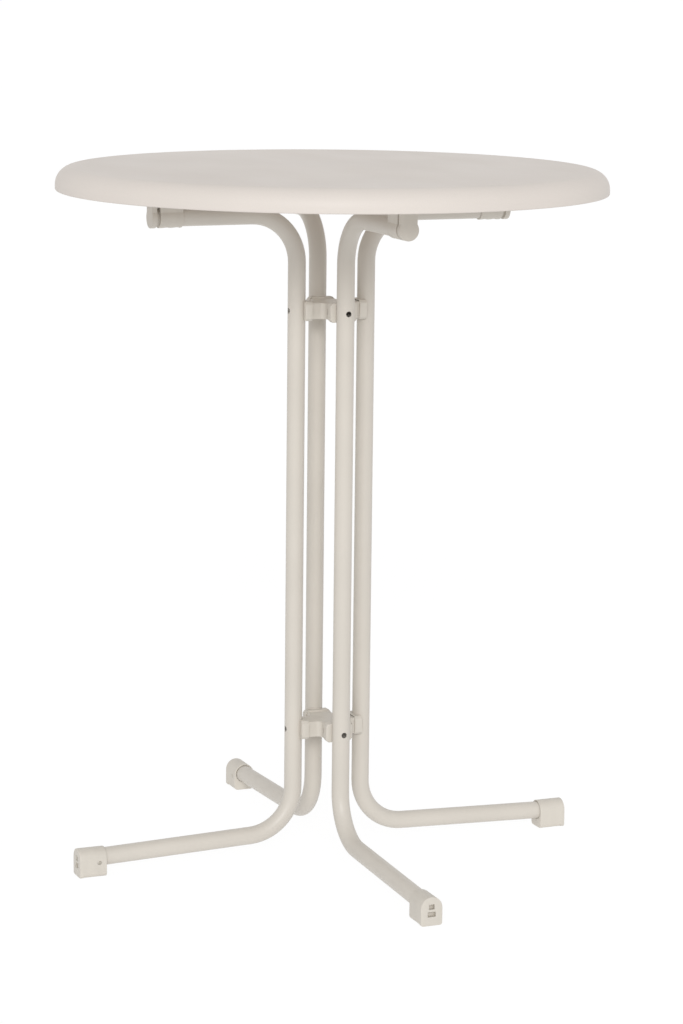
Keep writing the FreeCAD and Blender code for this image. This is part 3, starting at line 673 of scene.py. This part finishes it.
class TABLE_OT_hubs(bpy.types.Operator):
    """Mould the two cross-shaped hubs that hold the uprights together"""

    bl_idname = "bar_table.hubs"
    bl_label = "Hubs"

    def execute(self, context):
        sizes = context.scene.table_sizes
        plastic = plastic_finish("hub_plastic", context.scene.table_finish.plastic_colour)
        for hub in HUBS:
            node = f"{hub}_hub"
            low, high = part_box(node)
            shape = self.make_hub(sizes, high.x, (high.z - low.z) / 2)
            shape.transform(Matrix.Translation((0, 0, (low.z + high.z) / 2)))
            add_piece(f"{node}_moulding", shape, [node], plastic)
        return {"FINISHED"}

    def make_hub(self, sizes, reach, half_height):
        """Hub round the origin: four arms, each with a saddle against its upright."""
        length = reach - sizes.saddle_thickness
        shape = bmesh.new()
        self.add_saddle(shape, sizes, length, reach, half_height)
        on_four_sides(shape)
        underside = level(-sizes.hub_height / 2, self.arms(sizes, length))
        block(shape, underside, UP * sizes.hub_height)
        turns = [Matrix.Rotation(turn, 3, "Z") for turn in TURNS]
        for turn in turns:
            self.join_saddle(shape, turn @ OUTWARD, length)
        bmesh.ops.recalc_face_normals(shape, faces=shape.faces)
        outer = [edge for edge in creases(shape) if not self.hugs_tube(edge, sizes)]
        soften(shape, outer, sizes.mould_round, sizes.round_steps)
        self.cut_hollow(shape, sizes)
        for turn in turns:
            self.cut_nut_slot(shape, sizes, turn)
        bmesh.ops.recalc_face_normals(shape, faces=shape.faces)
        return shape

    def hugs_tube(self, edge, sizes):
        """Whether an edge lies against an upright, where a rounding would open a gap."""
        for vert in edge.verts:
            along, aside = sorted((abs(vert.co.x), abs(vert.co.y)), reverse=True)
            if math.hypot(along - sizes.upright_radius, aside) > sizes.tube_radius + sizes.fit_gap + WELD:
                return False
        return True

    def arms(self, sizes, length):
        """Outline of the four arms with hollow corners between them."""
        half = sizes.hub_arm / 2
        middle = half + sizes.hub_corner
        corner = arc((middle, middle), sizes.hub_corner, -QUARTER, -QUARTER, 2 * ARC_STEPS)
        return in_four_turns([(length, -half), (length, half), *corner])

    def add_saddle(self, shape, sizes, inner, outer, half_height):
        """Block with cut corners and a hollow for the upright."""
        half = sizes.saddle_width / 2
        hollow = sizes.tube_radius + sizes.fit_gap
        opening = math.acos((sizes.upright_radius - outer) / hollow)
        groove = arc((sizes.upright_radius, 0), hollow, HALF_TURN + opening, -2 * opening, 2 * ARC_STEPS)
        plan = [(inner, half), (inner, -half), (outer, -half), *groove, (outer, half)]
        block(shape, level(-half_height, plan), UP * (2 * half_height))
        for side in (-1, 1):
            for end in (-1, 1):
                corner = Vector((0, side * half, end * (half_height - sizes.saddle_chamfer)))
                bmesh.ops.bisect_plane(shape, geom=shape.verts[:] + shape.edges[:] + shape.faces[:],
                                       clear_outer=True, plane_co=corner, plane_no=(0, side, end))
                bmesh.ops.holes_fill(shape, edges=[edge for edge in shape.edges if edge.is_boundary])

    def join_saddle(self, shape, way, length):
        """Open the end of an arm into the back of its saddle, which lies in the same plane."""
        walls = [face for face in shape.faces if lies_across(face, way, length)]
        arm_end, back = sorted(walls, key=lambda face: face.calc_area())
        rim = arm_end.edges[:]
        bmesh.ops.delete(shape, geom=[arm_end], context="FACES_ONLY")
        pierce(shape, back, [rim])

    def cut_hollow(self, shape, sizes):
        """Round hollow in the underside."""
        underside = -sizes.hub_height / 2
        rim = loop(shape, level(underside, circle((0, 0), sizes.hub_hollow / 2)))
        pierce(shape, nearest(shape, UP * underside), [rim])
        pocket(shape, rim, UP * sizes.hub_hollow_depth)

    def cut_nut_slot(self, shape, sizes, turn):
        """Slot for a nut, from the side of an arm to just past the bolt."""
        low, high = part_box("upper_hub_nuts")
        half_high = (high.z - low.z) / 2 + sizes.fit_gap
        outer = high.x + sizes.fit_gap
        inner = high.x - sizes.nut_thickness - sizes.fit_gap
        side = -sizes.hub_arm / 2
        corners = ((inner, -half_high), (outer, -half_high), (outer, half_high), (inner, half_high))
        rim = loop(shape, [turn @ Vector((x, side, z)) for x, z in corners])
        pierce(shape, nearest(shape, turn @ Vector(((inner + outer) / 2, side, 0))), [rim])
        pocket(shape, rim, turn @ Vector((0, hex_corner(2 * half_high) - side, 0)))


class TABLE_OT_holders(bpy.types.Operator):
    """Mould the four holders that carry the top on the arms"""

    bl_idname = "bar_table.holders"
    bl_label = "Top holders"

    def execute(self, context):
        plastic = plastic_finish("holder_plastic", context.scene.table_finish.plastic_colour)
        add_mouldings("top_holder", self.make_holder, context.scene.table_sizes, plastic)
        return {"FINISHED"}

    def make_holder(self, sizes):
        """Sleeve with a block up to the top, and a groove that leaves a plate at its outer end."""
        low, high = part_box("top_holder_right")
        radius = high.y
        axis = low.z + radius
        half_neck = sizes.holder_neck / 2
        ceiling = high.z - sizes.holder_bridge
        groove_end = high.x - sizes.holder_plate
        groove_start = groove_end - sizes.holder_groove
        shoulder = math.acos(half_neck / radius)
        sleeve = arc((0, axis), radius, shoulder, -HALF_TURN - 2 * shoulder, 4 * ARC_STEPS)
        outline = [(-half_neck, high.z), (half_neck, high.z), *sleeve]
        shape = bmesh.new()
        block(shape, upright(low.x, outline), OUTWARD * (high.x - low.x))
        spare = radius
        room = box_points(2 * (radius + spare), low.z - spare, ceiling)
        groove = bmesh.new()
        block(groove, upright(groove_start, room), OUTWARD * sizes.holder_groove)
        shape = carve(shape, groove)
        outer = [edge for edge in creases(shape) if not lies_across(edge, UP, high.z)]
        soften(shape, outer, sizes.mould_round, sizes.round_steps)
        self.join_core(shape, axis, sizes.holder_core / 2, groove_start, groove_end)
        self.bore(shape, sizes, axis, low.x, groove_start)
        bmesh.ops.recalc_face_normals(shape, faces=shape.faces)
        return self.open_below(shape, sizes, axis)

    def open_below(self, shape, sizes, axis):
        """Two holes from below into the bore, for the heads of the bolts."""
        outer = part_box("holder_bolts")[1].x - sizes.holder_bolt_width / 2
        down = UP * (-2 * sizes.tube_radius)
        cutter = bmesh.new()
        for place in (outer - sizes.holder_bolt_pitch, outer):
            block(cutter, level(axis, circle((place, 0), sizes.holder_access / 2)), down)
        return carve(shape, cutter)

    def join_core(self, shape, axis, radius, start, end):
        """Round core that joins the two walls of the groove."""
        rims = []
        for x in (start, end):
            wall = min((face for face in shape.faces if abs(face.normal.x) > SQUARE_ON),
                       key=lambda face: abs(face.calc_center_median().x - x))
            rim = loop(shape, upright(x, circle((0, axis), radius)))
            pierce(shape, wall, [rim])
            rims += rim
        bmesh.ops.bridge_loops(shape, edges=rims)

    def bore(self, shape, sizes, axis, start, end):
        """Bore for the arm, from the inner end to a thin wall before the groove."""
        radius = sizes.tube_radius + sizes.fit_gap
        rim = loop(shape, upright(start, circle((0, axis), radius)))
        pierce(shape, farthest(shape, -OUTWARD), [rim])
        pocket(shape, rim, OUTWARD * (end - start - sizes.holder_wall))


class TABLE_OT_feet(bpy.types.Operator):
    """Mould the four foot caps"""

    bl_idname = "bar_table.feet"
    bl_label = "Foot caps"

    def execute(self, context):
        plastic = plastic_finish("foot_plastic", context.scene.table_finish.plastic_colour)
        add_mouldings("foot_cap", self.make_foot, context.scene.table_sizes, plastic)
        return {"FINISHED"}

    def make_foot(self, sizes):
        """Arched cap with a squarer end plate, a mouth for the leg and two pockets in its end."""
        low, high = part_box("foot_cap_right")
        radius = high.y
        axis = high.z - radius
        plate = high.x - sizes.foot_plate
        shape = bmesh.new()
        inner_end = loop(shape, upright(low.x, self.arch(radius, axis, sizes.foot_corner)))
        bmesh.ops.contextual_create(shape, geom=inner_end)
        plate_back = sink(shape, sink(shape, inner_end, OUTWARD * (plate - low.x)), Vector())
        self.square_corners(shape, sizes, plate_back, radius)
        pocket(shape, plate_back, OUTWARD * sizes.foot_plate)
        bmesh.ops.remove_doubles(shape, verts=shape.verts, dist=WELD)
        bmesh.ops.recalc_face_normals(shape, faces=shape.faces)
        ends = [edge for x in (low.x, high.x) for edge in shape.edges if lies_across(edge, OUTWARD, x)]
        soften(shape, ends, sizes.mould_round, sizes.round_steps)
        self.cut_mouth(shape, sizes, low.x, high.x - sizes.foot_end_wall, axis)
        self.cut_pockets(shape, sizes, high.x, axis)
        self.cut_screw_seat(shape, sizes, radius)
        bmesh.ops.recalc_face_normals(shape, faces=shape.faces)
        return shape

    def arch(self, radius, axis, corner):
        """Outline of a foot: a flat base with rounded corners under half a circle."""
        return [*arc((radius - corner, corner), corner, -QUARTER, QUARTER),
                *arc((0, axis), radius, 0, HALF_TURN, 2 * ARC_STEPS),
                *arc((corner - radius, corner), corner, HALF_TURN, QUARTER)]

    def square_corners(self, shape, sizes, edges, side):
        """Draw the lower corners of an arch out to the smaller rounding of the end plate."""
        share = sizes.foot_plate_corner / sizes.foot_corner
        verts = {vert for edge in edges for vert in edge.verts}
        for sign in (-1, 1):
            near = [vert for vert in verts
                    if max(side - sign * vert.co.y, vert.co.z) < sizes.foot_corner + WELD]
            corner = Vector((near[0].co.x, sign * side, 0))
            bmesh.ops.scale(shape, vec=(share, share, share), space=Matrix.Translation(-corner), verts=near)

    def cut_mouth(self, shape, sizes, start, end, axis):
        """Stepped bore along the leg, which comes in with a slight fall."""
        way = Vector((1, 0, -math.tan(sizes.leg_slope)))
        depth = end - start
        bore = sizes.tube_radius + sizes.fit_gap
        mouth = bore + sizes.foot_mouth
        rim = loop(shape, upright(start, circle((0, axis - depth * way.z), mouth)))
        pierce(shape, farthest(shape, -OUTWARD), [rim])
        ledge = sink(shape, rim, way * sizes.foot_mouth_depth)
        pocket(shape, sink(shape, ledge, Vector(), bore / mouth), way * (depth - sizes.foot_mouth_depth))

    def cut_pockets(self, shape, sizes, end, axis):
        """Two pockets in the end plate with a rib between them."""
        upper = axis - sizes.foot_rib / 2
        lower = upper - sizes.foot_rib
        rims = [loop(shape, upright(end, box_points(width, low, low + sizes.foot_pocket_height)))
                for width, low in ((sizes.foot_upper_pocket, upper),
                                   (sizes.foot_lower_pocket, lower - sizes.foot_pocket_height))]
        pierce(shape, farthest(shape, OUTWARD), rims)
        for rim in rims:
            pocket(shape, rim, -OUTWARD * sizes.foot_pocket_depth)

    def cut_screw_seat(self, shape, sizes, side):
        """Round seat for the head of the screw, in the side of the foot."""
        low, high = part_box("foot_cap_screws")
        radius = (high.z - low.z) / 2
        spot = Vector((high.x - radius, side, (low.z + high.z) / 2))
        rim = loop(shape, [(x, side, z) for x, z in circle(spot.xz, radius + sizes.fit_gap)])
        wall = min((face for face in shape.faces if face.normal.y > SQUARE_ON),
                   key=lambda face: (face.calc_center_median() - spot).length)
        pierce(shape, wall, [rim])
        pocket(shape, rim, Vector((0, -sizes.foot_screw_head, 0)))


class TABLE_OT_fasteners(bpy.types.Operator):
    """Make the bolts, nuts and screws and finish the inserts"""

    bl_idname = "bar_table.fasteners"
    bl_label = "Bolts, nuts, screws and inserts"

    def execute(self, context):
        sizes = context.scene.table_sizes
        zinc = zinc_finish(context.scene.table_finish.zinc_colour)
        for hub in HUBS:
            self.make_hub_bolts(sizes, f"{hub}_hub_bolts", zinc)
            self.make_hub_nuts(sizes, f"{hub}_hub_nuts", zinc)
        self.make_holder_bolts(sizes, zinc)
        self.make_foot_screws(sizes, zinc)
        brass = brass_finish(context.scene.table_finish.brass_colour)
        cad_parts["top_inserts"].material_slots[0].material = brass
        return {"FINISHED"}

    def add_fasteners(self, node, shape, zinc):
        """Repeat fasteners from the right side on the other three and make them one piece."""
        on_four_sides(shape)
        add_piece(f"{node}_detail", shape, [node], zinc)

    def make_hub_bolts(self, sizes, node, zinc):
        """Socket bolts that lie inside the uprights and point to the middle of the hub."""
        low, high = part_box(node)
        head = ((high.z - low.z) / 2, sizes.hub_bolt_head)
        shank = (sizes.hub_bolt_shank / 2, sizes.hub_bolt_length)
        shape = screw(sizes, head, shank, CAP_ROUND, hexagon(sizes.hub_bolt_key))
        place = Vector((high.x - sizes.hub_bolt_head, 0, (low.z + high.z) / 2))
        shape.transform(Matrix.Translation(place) @ HEAD_OUT)
        self.add_fasteners(node, shape, zinc)

    def make_hub_nuts(self, sizes, node, zinc):
        """Six-sided nuts in the slots of the hub arms, with flats above and below."""
        low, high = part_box(node)
        thickness = sizes.nut_thickness
        bore = sizes.hub_bolt_shank / 2
        shape = bmesh.new()
        block(shape, level(0, hexagon(high.z - low.z)), UP * thickness)
        soften(shape, shape.edges[:], sizes.nut_round, NUT_STEPS)
        rims = []
        for way, height in ((-UP, 0), (UP, thickness)):
            rim = loop(shape, level(height, circle((0, 0), bore)))
            pierce(shape, farthest(shape, way), [rim])
            rims += rim
        bmesh.ops.bridge_loops(shape, edges=rims)
        bmesh.ops.recalc_face_normals(shape, faces=shape.faces)
        place = Vector((high.x - thickness, 0, (low.z + high.z) / 2))
        shape.transform(Matrix.Translation(place) @ HEAD_OUT)
        self.add_fasteners(node, shape, zinc)

    def make_holder_bolts(self, sizes, zinc):
        """Two low-headed bolts from inside each arm up into the top."""
        low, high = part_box("holder_bolts")
        radius = sizes.holder_bolt_width / 2
        seat = low.z + sizes.holder_bolt_head
        shank = (sizes.holder_bolt_shank / 2, high.z - seat)
        shape = pan_screw(sizes, (radius, sizes.holder_bolt_head), shank)
        outer = Vector((high.x - radius, 0, seat))
        shape.transform(Matrix.Translation(outer) @ HEAD_DOWN)
        bolt = shape.verts[:] + shape.edges[:] + shape.faces[:]
        inner = bmesh.ops.duplicate(shape, geom=bolt)["geom"]
        bmesh.ops.translate(shape, vec=-OUTWARD * sizes.holder_bolt_pitch,
                            verts=[item for item in inner if isinstance(item, bmesh.types.BMVert)])
        self.add_fasteners("holder_bolts", shape, zinc)

    def make_foot_screws(self, sizes, zinc):
        """A small cross-head screw in the side of each foot."""
        low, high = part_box("foot_cap_screws")
        radius = (high.z - low.z) / 2
        head = sizes.foot_screw_head
        shape = pan_screw(sizes, (radius, head), (sizes.foot_screw_shank / 2, sizes.foot_screw_length))
        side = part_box("foot_cap_right")[1].y
        place = Vector((high.x - radius, side - head, (low.z + high.z) / 2))
        shape.transform(Matrix.Translation(place) @ HEAD_ASIDE)
        self.add_fasteners("foot_cap_screws", shape, zinc)


class TABLE_OT_stage(bpy.types.Operator):
    """Set the floor, the lamps and the camera"""

    bl_idname = "bar_table.stage"
    bl_label = "White studio"

    def execute(self, context):
        stage = context.scene.table_stage
        self.make_floor(context, stage)
        self.make_room(context, stage)
        self.make_lamps(context, stage)
        self.make_camera(context, stage)
        context.scene.view_settings.view_transform = "Standard"
        return {"FINISHED"}

    def seen(self, tree):
        """One for rays that show the surroundings: straight, mirrored or through glass."""
        camera, glossy, transmitted = (
            tree.node("ShaderNodeLightPath", {}, {}, output=name)
            for name in ("Is Camera Ray", "Is Glossy Ray", "Is Transmission Ray"))
        return camera + glossy + transmitted

    def make_floor(self, context, stage):
        """White floor that keeps a soft shadow; from below it isn't there."""
        shape = bmesh.new()
        bmesh.ops.create_grid(shape, x_segments=1, y_segments=1, size=stage.floor_size,
                              matrix=Matrix.Translation((0, 0, -FLOOR_GAP)))
        mesh = bpy.data.meshes.new("studio_floor")
        shape.to_mesh(mesh)
        shape.free()
        floor = bpy.data.objects.new("studio_floor", mesh)
        context.scene.collection.objects.link(floor)
        material = bpy.data.materials.new("studio_white")
        tree = empty_tree(material)
        white = self.seen(tree).ranged(least=stage.floor_bounce, most=stage.floor_white)
        matt = tree.node("ShaderNodeBsdfDiffuse", {}, {"Color": MATT_WHITE})
        plain = tree.node("ShaderNodeEmission", {}, {"Color": WHITE, "Strength": stage.floor_glow})
        upper = tree.node("ShaderNodeMixShader", {}, {0: white, 1: matt, 2: plain})
        below = tree.node("ShaderNodeNewGeometry", {}, {}, output="Backfacing")
        clear = tree.node("ShaderNodeBsdfTransparent", {}, {})
        sided = tree.node("ShaderNodeMixShader", {}, {0: below, 1: upper, 2: clear})
        tree.node("ShaderNodeOutputMaterial", {}, {"Surface": sided})
        mesh.materials.append(material)

    def make_room(self, context, stage):
        """Even light from all round, with plain white where the camera looks past the table."""
        world = bpy.data.worlds.new("studio_room")
        tree = empty_tree(world)
        room = tree.node("ShaderNodeBackground", {}, {"Color": WHITE, "Strength": stage.room_light})
        white = tree.node("ShaderNodeBackground", {}, {"Color": WHITE, "Strength": 1.0})
        surroundings = tree.node("ShaderNodeMixShader", {}, {0: self.seen(tree), 1: room, 2: white})
        tree.node("ShaderNodeOutputWorld", {}, {"Surface": surroundings})
        context.scene.world = world

    def make_lamps(self, context, stage):
        """Two wide soft lamps, to the left and to the right of the camera."""
        for name, side in (("left_lamp", -1), ("right_lamp", 1)):
            lamp = bpy.data.lights.new(name, "SUN")
            lamp.energy = stage.key_power
            lamp.angle = stage.key_spread
            holder = bpy.data.objects.new(name, lamp)
            turn = stage.heading - QUARTER + side * stage.key_turn
            holder.rotation_euler = (QUARTER - stage.key_rise, 0, turn)
            context.scene.collection.objects.link(holder)

    def make_camera(self, context, stage):
        """Camera that was fitted to the rim, the uprights and the feet."""
        camera = bpy.data.cameras.new("photo_camera")
        camera.lens = stage.lens
        eye = bpy.data.objects.new("photo_camera", camera)
        eye.matrix_world = (Matrix.Translation(stage.camera_place)
                            @ Matrix.Rotation(stage.heading - QUARTER, 4, "Z")
                            @ Matrix.Rotation(QUARTER - stage.pitch, 4, "X")
                            @ Matrix.Rotation(stage.roll, 4, "Z"))
        context.scene.collection.objects.link(eye)
        context.scene.camera = eye


class TABLE_PT_panel(bpy.types.Panel):
    """Steps and values of the bar table"""

    bl_idname = "TABLE_PT_panel"
    bl_label = "Bar table"
    bl_space_type = "VIEW_3D"
    bl_region_type = "UI"
    bl_category = "Bar Table"

    def draw(self, context):
        for step in STEPS:
            self.layout.operator(step.bl_idname)
        for group in (context.scene.table_sizes, context.scene.table_finish, context.scene.table_stage):
            box = self.layout.box()
            for name in type(group).__annotations__:
                box.prop(group, name)


GROUPS = {"table_sizes": TableSizes, "table_finish": TableFinish, "table_stage": TableStage}
STEPS = (TABLE_OT_top, TABLE_OT_tubes, TABLE_OT_hubs, TABLE_OT_holders, TABLE_OT_feet, TABLE_OT_fasteners,
         TABLE_OT_stage)
CLASSES = (*GROUPS.values(), *STEPS, TABLE_PT_panel)


def register():
    for item in CLASSES:
        bpy.utils.register_class(item)
    for name, group in GROUPS.items():
        setattr(bpy.types.Scene, name, PointerProperty(type=group))


def unregister():
    for name in GROUPS:
        delattr(bpy.types.Scene, name)
    for item in reversed(CLASSES):
        bpy.utils.unregister_class(item)


def main():
    register()
    bpy.ops.bar_table.top()
    bpy.ops.bar_table.tubes()
    bpy.ops.bar_table.hubs()
    bpy.ops.bar_table.holders()
    bpy.ops.bar_table.feet()
    bpy.ops.bar_table.fasteners()
    bpy.ops.bar_table.stage()


if __name__ == "__main__":
    main()
